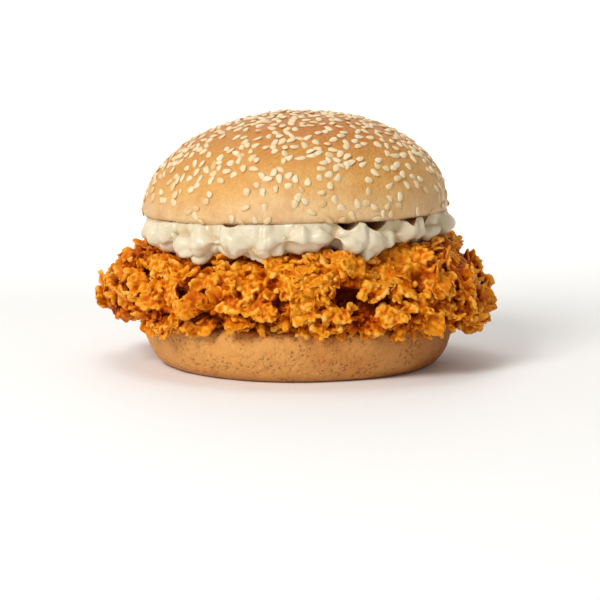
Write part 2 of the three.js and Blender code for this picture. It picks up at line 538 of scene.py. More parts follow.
bunBottom = {
    "columns": 680,
    "rows": 84,
    "smoothing": 14,
    "ring": (34 * mm, 34 * mm),
    "ringHeight": 8.5 * mm,
    "poreSize": 1.9 * mm,
    "poreDepth": 0.42 * mm,
    "pinSize": 1.25 * mm,
    "pinDepth": 0.3 * mm,
    "dents": 0.5 * mm,
    "wrinkles": 0.22 * mm,
}


def bunBaseFinish():
    f = Finish("baked_base")
    stops = [(0.28, (220, 151, 74)), (0.5, (226, 160, 83)), (0.72, (208, 133, 59))]
    colour = f.ramp(f.noise(18, 3, 0.55), stops)
    speckle = f.span(f.noise(1.0, 4, 0.7), 0.4, 0.75, 0.0, 0.35)
    colour = f.mix(speckle, colour, (226, 172, 104))
    # pinholes too fine for the mesh, in patches, darkened with painted shade
    holes = f.span(f.dots(1.5), 0.16, 0.34, 1.0, 0.0)
    holes = f.times(holes, f.span(f.noise(8), 0.44, 0.6, 0.0, 1.0))
    colour = f.mix(f.times(holes, 0.28), colour, (146, 84, 36))
    # painted shade in the pores
    colour = f.mix(f.field("pore"), colour, (146, 84, 34))
    # painted shade on the right side, and darker towards the bottom
    colour = f.mix(f.field("browned"), colour, (148, 76, 28))
    f.surface(colour, 0.6, 0.28)
    f.flesh(0.1, 1.6, (1.0, 0.5, 0.2))
    grain = f.sum(f.noise(0.7, 4, 0.65), f.times(f.noise(2.4), 1.8))
    f.bump(f.sum(grain, f.times(holes, -1.8)), 0.46, 0.9)
    return f.material


def makeBunBottom():
    size = bunBottom
    low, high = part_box("bun_bottom")
    centre = ((low.x + high.x) / 2, (low.y + high.y) / 2, size["ringHeight"])
    grid = skinGrid(treeOf("bun_bottom"), centre, size["ring"], size)
    normals = gridNormals(grid)
    height = grid[..., 2]
    side = smoothStep(0.3 * mm, 2.5 * mm, height) * (1 - smoothStep(15.6 * mm, 16.6 * mm, height))
    warped = grid + 0.5 * mm * noiseVector(grid, 1.4 * mm, 20)
    sparse = smoothStep(-0.15, 0.35, softNoise(grid, 7 * mm, 8) + 0.35 * softNoise(grid, 1.6 * mm, 9))
    pore = sparse * (1 - smoothStep(0.1, 0.33, cellNoise(warped, size["poreSize"], 5)[0]))
    warped = grid + 0.4 * mm * noiseVector(grid, 1.1 * mm, 23)
    many = smoothStep(-0.35, 0.3, softNoise(grid, 9 * mm, 26) + 0.3 * softNoise(grid, 2 * mm, 27))
    pin = many * (1 - smoothStep(0.1, 0.45, cellNoise(warped, size["pinSize"], 6)[0]))
    relief = size["dents"] * softNoise(grid, 11 * mm, 6) + size["wrinkles"] * softNoise(grid, 2.6 * mm, 7)
    relief = relief - size["poreDepth"] * pore - size["pinDepth"] * pin
    grid = grid + normals * (side * relief)[..., None]
    points, faces = closedGrid(grid)
    foot = 1 - smoothStep(0, 4.5 * mm, points[:, 2] - 1.2 * mm * softNoise(points, 8 * mm, 34))
    right = smoothStep(14 * mm, 52 * mm, points[:, 0])  # painted shade: darker towards the right side, away from the key light
    fields = {
        # the pores and pinholes, which get painted shade
        "pore": closedField(side * np.maximum(0.6 * pore, 0.4 * pin)),
        "browned": np.clip(0.5 * foot + 0.6 * right, 0, 0.8),
    }
    piece = makePiece("bun_bottom_skin", points, faces, "bun_base", bunBaseFinish(), fields)
    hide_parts("bun_bottom")


makeBunBottom()
print("bun bottom baked")


# Sesame seeds.
seeds = {
    "count": 815,
    "length": 3.25 * mm,
    "width": 2.15 * mm,
    "thick": 0.76 * mm,
    "sunk": 0.14 * mm,
    "room": (1.7 * mm, 3.2 * mm),  # from one seed's middle to the next
    "tries": 16000,
    "segments": 8,
    "rings": 6,
}


def seedFinish():
    f = Finish("sesame")
    stops = [(0.0, (234, 216, 180)), (0.5, (227, 204, 160)), (1.0, (212, 172, 114))]
    colour = f.ramp(f.field("toast"), stops)
    colour = f.mix(f.span(f.noise(0.7), 0.4, 0.8, 0.0, 0.3), colour, (216, 184, 134))
    f.surface(colour, 0.45, 0.4)
    f.flesh(0.2, 0.8, (1.0, 0.75, 0.45))
    f.bump(f.noise(0.35), 0.05, 0.5)
    return f.material


# a flat drop: round at one end and pointed at the other, long along X
def seedForm(segments, rings, point=0.62):
    points = [(-0.5, 0, 0)]
    for r in range(1, rings):
        a = math.pi * r / rings
        x = -0.5 * math.cos(a)
        fat = math.sin(a) ** 0.85 * (1 - point * x) * 0.5
        for s in range(segments):
            t = 2 * math.pi * s / segments
            points.append((x, fat * math.cos(t), fat * math.sin(t)))
    points.append((0.5, 0, 0))
    faces = []
    last = len(points) - 1
    for s in range(segments):
        n = (s + 1) % segments
        faces.append((0, 1 + n, 1 + s))
        faces.append((last, last - segments + s, last - segments + n))
        for r in range(rings - 2):
            a = 1 + r * segments
            faces.append((a + s, a + n, a + segments + n, a + segments + s))
    return np.array(points), faces


# many copies of one form's faces, numbered for a single mesh
def repeatFaces(faces, pointCount, count):
    return [tuple(i * pointCount + n for n in face) for i in range(count) for face in faces]


def scatterOnDome(count):
    grid = domeGrid.reshape(-1, 3)
    normals = domeNormals.reshape(-1, 3)
    rise = riseOf(grid)
    centre = bunTop["cutCentre"]
    area = np.hypot(grid[:, 0] - centre[0], grid[:, 1] - centre[1]) + 1e-4  # cells shrink at the pole
    thick = 0.32 + 0.68 * smoothStep(4 * mm, 18 * mm, rise)
    clump = smoothStep(-0.45, 0.35, softNoise(grid, 11 * mm, 31)) * 0.8 + 0.2
    weight = area * thick * clump * (rise > 1.2 * mm)
    order = rng.choice(len(grid), size=seeds["tries"], p=weight / weight.sum())
    chosen = []
    for i in order:
        room = rng.uniform(*seeds["room"])
        if not chosen or np.min(np.sum((grid[chosen] - grid[i]) ** 2, -1)) > room * room:
            chosen.append(i)
        if len(chosen) == count:
            break
    return grid[chosen], normals[chosen]


def makeSeeds():
    form, formFaces = seedForm(seeds["segments"], seeds["rings"])
    spots, normals = scatterOnDome(seeds["count"])
    count = len(spots)
    turn = rng.uniform(0, 2 * math.pi, count)
    side = unit(np.cross(normals, np.array([0.3, 0.2, 1.0])))
    other = np.cross(normals, side)
    along = unit(np.cos(turn)[:, None] * side + np.sin(turn)[:, None] * other)
    lean = rng.normal(0, 0.13, count)[:, None]
    along = unit(along + lean * normals)
    up = flattened(normals, along)
    up = unit(up + rng.normal(0, 0.15, count)[:, None] * np.cross(up, along))
    across = np.cross(up, along)
    sizes = rng.normal(1, 0.1, (count, 3)) * [seeds["length"], seeds["width"], seeds["thick"]]
    plump = form[None] * sizes[:, None]
    plump[..., 1] += 0.2 * mm * rng.normal(0, 1, count)[:, None] * (form[None, :, 0] ** 2 * 4)
    centres = spots + up * (sizes[:, 2] / 2 - seeds["sunk"] - 0.14 * mm)[:, None]
    points = placed(plump, centres, along, across, up)
    faces = repeatFaces(formFaces, len(form), count)
    low = 1 - smoothStep(4 * mm, 16 * mm, riseOf(spots))
    toast = np.repeat(np.clip(rng.normal(0.3, 0.22, count) + 0.3 * low, 0, 1), len(form))
    toast = np.clip(toast + 0.3 * np.tile(smoothStep(0.3, 0.5, form[:, 0]), count), 0, 1)
    makePiece("sesame_seeds", points, faces, "seeds", seedFinish(), {"toast": toast})


makeSeeds()
print("seeds scattered")


# Fried crust.
crust = {
    "columns": 560,
    "rows": 100,
    "smoothing": 8,
    "innerReach": 0.66,  # how far out the ring of rays starts
    "ringHeight": 29 * mm,
    "inset": 2.4 * mm,  # room for the flakes
    "clumpSize": 15.5 * mm,
    "clumpDepth": 5.6 * mm,
    "lumpSize": 5.0 * mm,
    "lumpDepth": 2.0 * mm,
    "foldSize": 2.6 * mm,
    "foldDepth": 1.0 * mm,
    "grainDepth": 0.3 * mm,
    # dark pockets between the clumps at the front: x and z in mm, and how wide
    "hollows": [
        (17.4, 30.8, 5.0), (-8.3, 33.6, 2.8), (-7.6, 28.2, 2.2), (-3.0, 38.8, 2.2), (9.3, 37.4, 2.6),
        (27.4, 26.3, 2.6), (38.0, 33.2, 3.0), (-1.1, 17.2, 2.8), (-38.8, 31.2, 2.6), (-46.2, 22.0, 2.2),
        (-50.0, 31.2, 2.4),
    ],
    "hollowDepth": 1.9 * mm,
    # above the shoulder, front and back swell out towards the sauce, and the two ends draw in
    "shoulder": (28 * mm, 35 * mm),
    "middleSwell": 2.8 * mm,
    "endDraw": 1.0 * mm,
}


def crustFinish():
    f = Finish("fried_crust")
    # the lift field holds painted shade in deep places and creases, and painted highlight on ridges
    wander = f.sum(f.field("lift"), f.span(f.noise(4.5), 0.3, 0.7, -0.09, 0.09))
    stops = [
        (0.0, (76, 18, 0)),
        (0.2, (116, 34, 0)),
        (0.42, (180, 74, 0)),
        (0.62, (216, 118, 2)),
        (0.8, (241, 162, 28)),
        (1.0, (254, 210, 118)),
    ]
    colour = f.ramp(wander, stops)
    colour = f.mix(f.span(f.noise(14, 3, 0.5), 0.4, 0.7, 0.0, 0.35), colour, (206, 104, 6))
    roughness = f.span(f.noise(2.5), 0.3, 0.7, 0.42, 0.6)
    f.surface(colour, roughness, f.span(f.field("lift"), 0.2, 0.7, 0.02, 0.28))
    f.set("Specular Tint", (1.0, 0.8, 0.5, 1))
    f.flesh(0.05, 0.8, (1.0, 0.5, 0.1))
    grain = f.sum(f.noise(0.45, 4, 0.65), f.times(f.noise(1.4), 1.5))
    f.bump(grain, 0.22, 0.7)
    return f.material


crustMaterial = crustFinish()
filletTree = treeOf("chicken_fillet")


# the point of the fillet's front face at this x and z
def frontFace(x, z):
    return np.array(filletTree.ray_cast(Vector((x, -0.1, z)), Vector((0, 1, 0)))[0])


hollows = [(frontFace(x * mm, z * mm), reach * mm) for x, z, reach in crust["hollows"]]


# 1 in the pockets between clumps, falling to 0 around them
def hollowAt(points):
    deep = np.zeros(points.shape[:-1])
    warped = points + 2.4 * mm * noiseVector(points, 4.5 * mm, 48)
    for middle, reach in hollows:
        away = lengthOf(warped - middle)
        deep = np.maximum(deep, 1 - smoothStep(0.6 * reach, 1.3 * reach, away))
    return deep


# clumps of breading with clefts between them, lumps on the clumps, and folds on the lumps
def crustRelief(points):
    warped = points + 3.2 * mm * noiseVector(points, 11 * mm, 40)
    first, second, away = cellNoise(warped, crust["clumpSize"], 11)
    cleft = 1 - smoothStep(0.0, 0.3, second - first)
    clump = crust["clumpDepth"] * (0.3 - 0.75 * first ** 2 - 0.46 * cleft)
    warped = points + 1.4 * mm * noiseVector(points, 4 * mm, 47)
    lumpFirst, lumpSecond, _ = cellNoise(warped, crust["lumpSize"], 12)
    seam = 1 - smoothStep(0, 0.2, lumpSecond - lumpFirst)
    lump = crust["lumpDepth"] * (0.5 - lumpFirst - 0.3 * seam)
    fold = 1 - 2.4 * np.abs(softNoise(warped, crust["foldSize"], 44))
    grain = softNoise(points, 1.1 * mm, 45)
    relief = clump + lump + crust["foldDepth"] * (fold - 0.35) + crust["grainDepth"] * grain
    dent = hollowAt(points)
    relief = relief * (1 - 0.7 * dent) - crust["hollowDepth"] * dent
    middle = smoothStep(0.35, 0.8, np.abs(points[..., 1]) / fromAxis(points))
    swell = crust["middleSwell"] * middle - crust["endDraw"] * (1 - middle)
    shoulder = smoothStep(*crust["shoulder"], points[..., 2]) * swell
    return relief - crust["inset"] + shoulder, unit(away)


def makeCore():
    size = crust
    low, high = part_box("chicken_fillet")
    middle = (low + high) / 2
    ring = [(high[i] - low[i]) / 2 * size["innerReach"] for i in (0, 1)]
    centre = (middle.x, middle.y, size["ringHeight"])
    grid = skinGrid(filletTree, centre, ring, size)
    normals = gridNormals(smoothPoints(grid, 10))
    rises = np.linspace(-90, 90, size["rows"])
    bare = smoothStep(-90, -70, rises) * (1 - smoothStep(72, 90, rises))
    relief, away = crustRelief(grid)
    lean = 0.9 * mm * noiseVector(grid, 5 * mm, 50)
    skin = grid + normals * (bare * relief)[..., None] + lean * bare[None, :, None]
    under = [middle.x, middle.y, skin[:, 0, 2].mean()]
    over = [middle.x, middle.y, skin[:, -1, 2].mean()]
    return {
        "grid": skin,
        "bare": bare,
        "spots": skin.reshape(-1, 3),
        "normals": normals.reshape(-1, 3),
        "away": away.reshape(-1, 3),
        "relief": relief.ravel(),
        "mesh": closedGrid(skin, [under, over]),
    }


core = makeCore()
print("fillet core shaped")
rng = np.random.default_rng(12)  # a draw of its own, so that the crust stays as it is


# the flakes that stand on the core, one dictionary for each kind
flakeKinds = [
    {
        "name": "crust_fans", "fused": True, "count": 420, "grid": (12, 18), "seed": 101,
        "length": (5.0, 9.5), "width": (4.5, 8.5), "thick": 1.3, "crumple": 0.45,
        "tilt": (8, 40), "bend": (-40, 75), "cup": (-75, 60),
        "ruffle": 1.3, "pleat": 0.8, "pitch": 1.5, "ragged": 0.34,
    },
    {
        "name": "crust_ribs", "fused": True, "count": 620, "grid": (10, 6), "seed": 303,
        "length": (4.0, 7.8), "width": (1.6, 2.8), "thick": 1.35, "crumple": 0.45,
        "tilt": (2, 32), "bend": (-60, 100), "cup": (-60, 40),
        "ruffle": 0.8, "pleat": 0.3, "pitch": 1.5, "ragged": 0.3,
    },
    {
        "name": "crust_leaves", "fused": False, "count": 420, "grid": (9, 12), "seed": 606,
        "length": (4.8, 9.2), "width": (3.4, 6.6), "thick": 0.8, "crumple": 0.25,
        "tilt": (8, 44), "bend": (-60, 90), "cup": (-90, 80),
        "ruffle": 1.2, "pleat": 0.65, "pitch": 1.25, "ragged": 0.4,
    },
    {
        "name": "crust_frills", "fused": False, "count": 96, "grid": (12, 18), "seed": 707,
        "length": (6.5, 11.0), "width": (5.5, 9.5), "thick": 0.85, "crumple": 0.3,
        "tilt": (14, 44), "bend": (-20, 90), "cup": (-100, 40),
        "ruffle": 1.5, "pleat": 0.95, "pitch": 1.6, "ragged": 0.36,
    },
    {
        "name": "crust_tongues", "fused": False, "count": 400, "grid": (9, 6), "seed": 202,
        "length": (4.5, 9.0), "width": (1.8, 3.4), "thick": 0.85, "crumple": 0.25,
        "tilt": (4, 38), "bend": (-70, 80), "cup": (-110, 60),
        "ruffle": 1.0, "pleat": 0.25, "pitch": 1.4, "ragged": 0.3,
    },
    {
        "name": "crust_shards", "fused": False, "count": 160, "grid": (5, 6), "seed": 404,
        "length": (2.0, 4.2), "width": (1.4, 2.8), "thick": 0.8, "crumple": 0.35,
        "tilt": (5, 62), "bend": (-90, 110), "cup": (-90, 90),
        "ruffle": 0.6, "pleat": 0.3, "pitch": 1.5, "ragged": 0.34,
    },
]


def between(limits, count, power=1.0):
    low, high = limits
    return low + (high - low) * rng.random(count) ** power


# A kind's sheets, each lying along X from its root: a rounded leaf with a lobed edge, which is
# then bent lengthwise, cupped crosswise, ruffled and pleated. The four shapes are one number
# for each flake: length and width in mm, bend and cup in degrees.
def flakeSheets(kind, length, width, bend, cup):
    count = len(length)
    nu, nv = kind["grid"]
    length, width = length[:, None, None] * mm, width[:, None, None] * mm
    bend, cup = np.radians(bend)[:, None, None] + 1e-3, np.radians(cup)[:, None, None] + 1e-3
    u = 1 - (1 - np.linspace(0, 1, nu + 1)[None, :, None]) ** 1.4
    v = np.linspace(-1, 1, nv + 1)[None, None, :]
    v = np.sign(v) * (1 - (1 - np.abs(v)) ** 1.25)
    key = rng.uniform(0, 500, count)[:, None, None]
    flat = np.zeros((count, nu + 1, nv + 1))

    def wobble(a, b, seed):
        return softNoise(np.stack([key + a + flat, b + flat, 0.37 * key + flat], -1), 1.0, seed)

    along = 0.13 + 0.87 * u - 0.5
    across = 0.5 * v * (1 - np.abs(2 * along) ** 2.6) ** (1 / 2.6)
    bearing = np.arctan2(across, along)
    outness = np.clip(np.hypot(across, along) * 2, 0, 1) ** 2
    lobes = wobble(1.7 * np.cos(bearing), 1.7 * np.sin(bearing), kind["seed"])
    lobes = lobes + 0.4 * wobble(3.6 * np.cos(bearing), 3.6 * np.sin(bearing), kind["seed"] + 1)
    scale = 1 + kind["ragged"] * outness * lobes
    reach = np.clip(along * scale + 0.37, 0, 2)
    side = across * 2 * scale
    turned = bend * reach
    x = length * np.sin(turned) / bend
    z = length * (1 - np.cos(turned)) / bend
    y = width / 2 * np.sin(cup * side) / cup
    hollow = width / 2 * (1 - np.cos(cup * side)) / cup
    wave = wobble(reach * length / (4.2 * mm), side * width / (4.4 * mm), kind["seed"] + 2)
    pleat = wobble(reach * length / (4.5 * mm), side * width / (kind["pitch"] * mm), kind["seed"] + 4)
    grow = (0.25 + 0.75 * reach) * mm
    lift = hollow + grow * (kind["ruffle"] * wave + kind["pleat"] * pleat)
    x = x - lift * np.sin(turned)
    z = z + lift * np.cos(turned)
    sheet = np.stack([x, y + flat, z], -1)
    normal = unit(np.cross(np.gradient(sheet, axis=1), np.gradient(sheet, axis=2)))
    edge = (1 - np.abs(v) ** 4) * (1 - u ** 7)
    half = kind["thick"] * mm / 2 * np.sqrt(np.clip(edge, 0, 1))
    half = half * rng.normal(1, 0.15, count)[:, None, None]
    half = half * (1 + 0.4 * wobble(u * 3.5, v * 2.5, kind["seed"] + 3))
    return sheet, normal, half


def flakeFaces(nu, nv):
    columns = nv + 1
    layer = (nu + 1) * columns
    index = np.arange(layer).reshape(nu + 1, columns)
    under = index + layer
    # the sheet's two faces share their free edge
    under[:, 0] = index[:, 0]
    under[:, -1] = index[:, -1]
    under[-1] = index[-1]
    faces = []
    for i in range(nu):
        for j in range(nv):
            faces.append((index[i, j], index[i + 1, j], index[i + 1, j + 1], index[i, j + 1]))
            faces.append((under[i, j], under[i, j + 1], under[i + 1, j + 1], under[i + 1, j]))
    for j in range(nv):
        ring = (index[0, j], index[0, j + 1], under[0, j + 1], under[0, j])
        faces.append(tuple(dict.fromkeys(ring)))
    used = sorted(set(n for face in faces for n in face))
    renumber = {n: i for i, n in enumerate(used)}
    return [tuple(renumber[n] for n in face) for face in faces], np.array(used)


sauceTree = treeOf("sauce")


rooting = {
    "bunTop": 17.5 * mm,  # the lower bun's top, and how far out it reaches
    "bunReach": 52.5 * mm,
    "leftEnd": -53 * mm,  # beyond this x nothing is rooted below this height
    "leftUnder": 20.5 * mm,
    "highest": 43.5 * mm,
    "sauceGap": 0.9 * mm,
    "sunk": 0.7 * mm,
    "spare": 1.8,  # picks for each flake, as some turn out too near the sauce
}


# where flakes are rooted: mostly on the clumps, and clear of the sauce and of the lower bun's top
def rootSpots(count):
    grid, points = core["grid"], core["spots"]
    along = lengthOf(np.roll(grid, -1, 0) - grid)
    down = lengthOf(np.gradient(grid, axis=1))
    weight = (along * down * core["bare"][None]).ravel()
    weight *= 0.04 + smoothStep(-6.0 * mm, -2.4 * mm, core["relief"])
    weight *= 1 - hollowAt(points + core["normals"] * 2.5 * mm)
    height = points[:, 2]
    weight *= ~((height < rooting["bunTop"]) & (fromAxis(points) < rooting["bunReach"]))
    weight *= ~((height < rooting["leftUnder"]) & (points[:, 0] < rooting["leftEnd"]))
    number = int(count * rooting["spare"])
    picks = rng.choice(len(points), size=number, replace=False, p=weight / weight.sum())
    gaps = np.array([sauceTree.find_nearest(Vector(points[i]))[3] for i in picks])
    return picks[(gaps > rooting["sauceGap"]) & (height[picks] < rooting["highest"])][:count]


# flakes lie away from their clump's middle, the sauce and the pockets, with a drift that
# neighbours share
def flowField(spots, normals, away):
    flow = away + 0.8 * noiseVector(spots, 15 * mm, 60) + 0.3 * rng.normal(0, 1, spots.shape)
    for i, spot in enumerate(spots):
        near, _, _, distance = sauceTree.find_nearest(Vector(spot))
        if distance < 9 * mm:
            flow[i] += 3.0 * unit(spot - np.array(near)) * (1 - distance / (9 * mm))
    for middle, reach in hollows:
        gap = spots - middle
        near = 1 - smoothStep(reach, reach + 6 * mm, lengthOf(gap)[:, None])
        flow = flow + 2.5 * near * unit(gap)
    return flattened(flow, normals)


# sets each sheet on its root, along the flow and tilted out; gives one mesh's points and faces
def setFlakes(kind, sheets, roots, flow, normals, tilt):
    sheet, normal, half = sheets
    count = len(roots)
    tilt = np.radians(tilt)[:, None]
    forward = np.cos(tilt) * flow + np.sin(tilt) * normals
    up = np.cos(tilt) * normals - np.sin(tilt) * flow
    top = sheet + normal * half[..., None]
    under = sheet - normal * half[..., None]
    both = np.concatenate([top.reshape(count, -1, 3), under.reshape(count, -1, 3)], 1)
    faces, used = flakeFaces(*kind["grid"])
    points = placed(both[:, used], roots, forward, np.cross(up, forward), up)
    points = points + kind["crumple"] * mm * noiseVector(points, 1.5 * mm, kind["seed"] + 9)
    return pressed(points.reshape(-1, 3)), repeatFaces(faces, len(used), count)


# each point's nearest point on the CAD fillet, and how far outside the fillet it stands
def filletLevels(points):
    nearest, levels = np.empty(points.shape), np.empty(len(points))
    for i, point in enumerate(points):
        nearest[i], normal, _, distance = filletTree.find_nearest(Vector(point))
        levels[i] = math.copysign(distance, (Vector(point) - Vector(nearest[i])).dot(normal))
    return nearest, levels


# brings back what stands far out of the fillet's outline
def pressed(points):
    free, kept = 1.5 * mm, 0.55  # how far out is left alone, and the share kept of what is further
    nearest, levels = filletLevels(points)
    far = levels > free
    level = levels[far][:, None]
    out = free + kept * (level - free)
    points[far] = nearest[far] + (points[far] - nearest[far]) * out / level
    return points


def makeFlakes(kind):
    picks = rootSpots(kind["count"])
    spots, normals = core["spots"][picks], core["normals"][picks]
    flow = flowField(spots, normals, core["away"][picks])
    count = len(picks)
    sheets = flakeSheets(kind, *(between(kind[key], count) for key in ("length", "width", "bend", "cup")))
    roots = spots - normals * rooting["sunk"]
    return setFlakes(kind, sheets, roots, flow, normals, between(kind["tilt"], count))


# one mesh from several, each given as points and faces
def joined(meshes):
    points, faces, start = [], [], 0
    for part, partFaces in meshes:
        points.append(part)
        faces.extend(tuple(start + n for n in face) for face in partFaces)
        start += len(part)
    return np.concatenate(points), faces


fused = {
    "voxel": 0.5 * mm,
    "triangles": 192000,
    # inside this, and outside these heights, the fillet lies against the bun and the sauce
    "hiddenReach": 43 * mm,
    "sideHeights": (20 * mm, 38 * mm),
    "crinkleSize": 2.2 * mm,
    "crinkleDepth": 0.5 * mm,
}


# fine sharp folds all over the fried skin
def crinkle(mesh):
    points = meshVectors(mesh, "co")
    warped = points + 0.9 * mm * noiseVector(points, 2.6 * mm, 64)
    fold = 1 - 2.4 * np.abs(softNoise(warped, fused["crinkleSize"], 61))
    fine = 1 - 2.4 * np.abs(softNoise(warped, fused["crinkleSize"] / 2, 62))
    out = fused["crinkleDepth"] * (fold + 0.4 * fine - 0.5)
    points = points + meshVectors(mesh, "normal") * out[:, None]
    mesh.vertices.foreach_set("co", points.astype(np.float32).ravel())
    mesh.update()


# Melts the core and the fused flakes into one skin, and closes its hidden middle with flat faces.
def fuse(points, faces):
    piece = newObject("fused", newMesh("fused", points.tolist(), faces))
    remesh = piece.modifiers.new("remesh", "REMESH")
    remesh.mode = "VOXEL"
    remesh.voxel_size = fused["voxel"]
    melted = withModifiers(piece)
    form = bmesh.new()
    form.from_mesh(melted)
    low, high = fused["sideHeights"]
    hidden = []
    for face in form.faces:
        middle = face.calc_center_median()
        if math.hypot(middle.x, middle.y) < fused["hiddenReach"] and not low < middle.z < high:
            hidden.append(face)
    bmesh.ops.delete(form, geom=hidden, context="FACES")
    bmesh.ops.holes_fill(form, edges=[edge for edge in form.edges if edge.is_boundary], sides=0)
    form.to_mesh(melted)
    form.free()
    crinkle(melted)
    piece.modifiers.clear()
    piece.data = melted
    count = triangleCount(melted)
    print("fused crust has", count, "triangles")
    decimate = piece.modifiers.new("decimate", "DECIMATE")
    decimate.ratio = min(1, fused["triangles"] / count)
    slim = withModifiers(piece)
    bpy.data.objects.remove(piece)
    return meshVectors(slim, "co"), [tuple(p.vertices) for p in slim.polygons]


# how much painted light and shade the crust gets
frying = {
    "darkest": 0.03,
    "outward": 0.64,  # the painted lightening that standing out adds, over these mm from the CAD fillet
    "levels": (-5.3, 1.5),
    "ridge": 0.21,  # the painted highlight that a ridge adds, and the painted shade that a crease takes
    "crease": 0.16,
}


# painted light and shade on the crust at each point: painted shade where it lies deep and in creases,
# painted highlight where it stands out and on ridges
def liftOf(points, faces):
    mesh = newMesh("measured", points.tolist(), faces)
    edges = np.empty(len(mesh.edges) * 2, np.int32)
    mesh.edges.foreach_get("vertices", edges)
    edges = edges.reshape(-1, 2)
    normals = meshVectors(mesh, "normal")
    bpy.data.meshes.remove(mesh)

    def neighbourMean(values):
        total = np.zeros(values.shape)
        number = np.zeros(len(values))
        for a, b in ((0, 1), (1, 0)):
            np.add.at(total, edges[:, a], values[edges[:, b]])
            np.add.at(number, edges[:, a], 1)
        return total / np.maximum(number, 1).reshape(-1, *[1] * (values.ndim - 1))

    around = neighbourMean(points)
    ridge = np.sum((points - around) * normals, -1) / mm
    ridge = 0.5 * ridge + 0.5 * neighbourMean(ridge)
    level = filletLevels(points)[1] / mm
    lift = frying["darkest"] + frying["outward"] * smoothStep(*frying["levels"], level)
    lift = lift + frying["ridge"] * smoothStep(0.0, 0.2, ridge)
    return lift - frying["crease"] * smoothStep(0.0, 0.16, -ridge)


def crustPiece(name, points, faces):
    lift = np.clip(liftOf(points, faces), 0, 1)
    return makePiece(name, points, faces, "crust", crustMaterial, {"lift": lift})


# The flakes at the front that catch the eye. Each has the x and z of its middle, its length and
# width, all in mm, the way its tip points as seen from the front (degrees anticlockwise from the
# right), its tilt out from the core, its bend and its cup.
flakeRows = [
    (-37.6, 25.0, 9.4, 8.4, 200, 10, 20, -35),
    (-40.7, 33.8, 4.6, 5.0, 80, 12, 20, -30),
    (-1.4, 33.0, 8.2, 4.6, 112, 16, 45, -80),
    (1.0, 29.0, 5.0, 4.4, 265, 12, 60, 50),
    (8.8, 39.4, 5.2, 7.6, 80, 18, 95, -40),
    (6.3, 30.4, 7.2, 5.2, 78, 22, 20, 80),
    (-16.1, 28.6, 4.0, 4.2, 250, 4, 10, -10),
    (-11.3, 23.3, 8.8, 7.4, 218, 16, 45, 60),
    (-22.3, 19.6, 7.0, 4.0, 265, 8, 30, -60),
    (-4.6, 30.5, 7.0, 3.6, 250, 22, -30, 90),
    (-0.8, 23.4, 9.2, 3.8, 268, 12, 25, -70),
    (10.1, 34.6, 7.6, 3.6, 330, 24, 130, -50),
    (31.2, 28.6, 8.6, 4.2, 262, 16, 30, -60),
    (38.6, 26.8, 7.6, 6.2, 95, 8, 15, -30),
    (48.8, 29.1, 7.4, 4.4, 300, 20, 40, -70),
    (48.4, 38.4, 6.4, 5.2, 140, 14, 30, -50),
    (48.8, 33.4, 7.4, 3.6, 5, 14, 20, -80),
    (24.8, 25.4, 4.4, 4.6, 150, 30, 120, 60),
    (27.0, 20.9, 6.4, 5.4, 330, 16, 40, -60),
    (21.4, 31.6, 8.0, 4.0, 66, 18, 20, -70),
    (15.6, 26.6, 5.2, 4.4, 130, 26, 80, 90),
    (24.6, 17.3, 5.0, 5.2, 280, 12, 30, -40),
    (32.5, 15.6, 5.4, 4.2, 262, 14, 20, -60),
    (-57.8, 25.4, 9.6, 8.4, 60, 18, 45, -60),
    (-31.0, 17.2, 5.6, 4.6, 300, 24, 80, -70),
    (-33.8, 16.4, 6.4, 5.6, 275, 16, 60, 70),
    (-36.5, 17.2, 5.8, 4.6, 235, 20, 80, -70),
    (1.0, 16.8, 6.8, 5.6, 232, 22, 90, -80),
    (4.4, 15.8, 6.6, 5.6, 268, 14, 70, 80),
    (7.8, 17.2, 6.2, 5.2, 312, 22, 90, -80),
    (4.6, 18.6, 4.8, 5.0, 250, 34, 120, 90),
]


# Shell-like fans of narrow ridges: the x and z they spread from, first and last bearing, number
# of ridges, and the ridges' length and width.
ridgeFans = [
    (-18.5, 36.5, 196, 316, 9, 8.4, 2.9),
    (-20.5, 29.0, 212, 300, 6, 7.0, 2.6),
    (-2.4, 37.0, 250, 296, 4, 9.0, 2.6),
    (-11.5, 27.5, 200, 320, 7, 6.4, 2.8),
    (-30.5, 36.0, 230, 330, 5, 6.6, 2.8),
    (31.0, 27.0, 216, 330, 7, 7.6, 2.8),
    (12.0, 26.0, 220, 320, 6, 6.6, 2.6),
    (44.0, 33.0, 240, 350, 6, 6.8, 2.8),
    (-51.0, 33.0, 170, 280, 6, 7.6, 3.0),
]


bigFlakes = {
    "grid": (16, 20),
    "thick": 1.25,
    "crumple": 0.5,
    "ruffle": 1.0,
    "pleat": 0.6,
    "pitch": 1.3,
    "ragged": 0.3,
    "seed": 505,
    "sunk": 1.5 * mm,
}


def fanRows():
    rows = []
    for x, z, first, last, count, length, width in ridgeFans:
        for bearing in np.linspace(first, last, count) + rng.normal(0, 4, count):
            out = length * rng.uniform(0.45, 0.75)
            a = math.radians(bearing)
            size = rng.uniform(0.85, 1.15)
            shape = (rng.uniform(8, 24), rng.uniform(10, 50), rng.uniform(-90, -30))
            middle = (x + out * math.cos(a), z + out * math.sin(a))
            rows.append((*middle, length * size, width * size, bearing, *shape))
    return rows


def makeBigFlakes(kind):
    rows = np.array(flakeRows + fanRows(), float)
    spots = np.array([frontFace(row[0] * mm, row[1] * mm) for row in rows])
    length, width, bearing, tilt, bend, cup = rows[:, 2:].T
    picks = [int(np.argmin(np.sum((core["spots"] - spot) ** 2, -1))) for spot in spots]
    towardFront = unit(np.array([0, -1, 0.15]))
    normals = unit(core["normals"][picks] + 0.8 * towardFront)
    turn = np.radians(bearing)[:, None]
    flow = np.cos(turn) * np.array([1, 0, 0]) + np.sin(turn) * np.array([0, 0, 1])
    flow = flattened(flow, normals)
    roots = spots - flow * length[:, None] * mm * 0.45 - normals * kind["sunk"]
    sheets = flakeSheets(kind, length, width, bend, cup)
    return setFlakes(kind, sheets, roots, flow, normals, tilt)


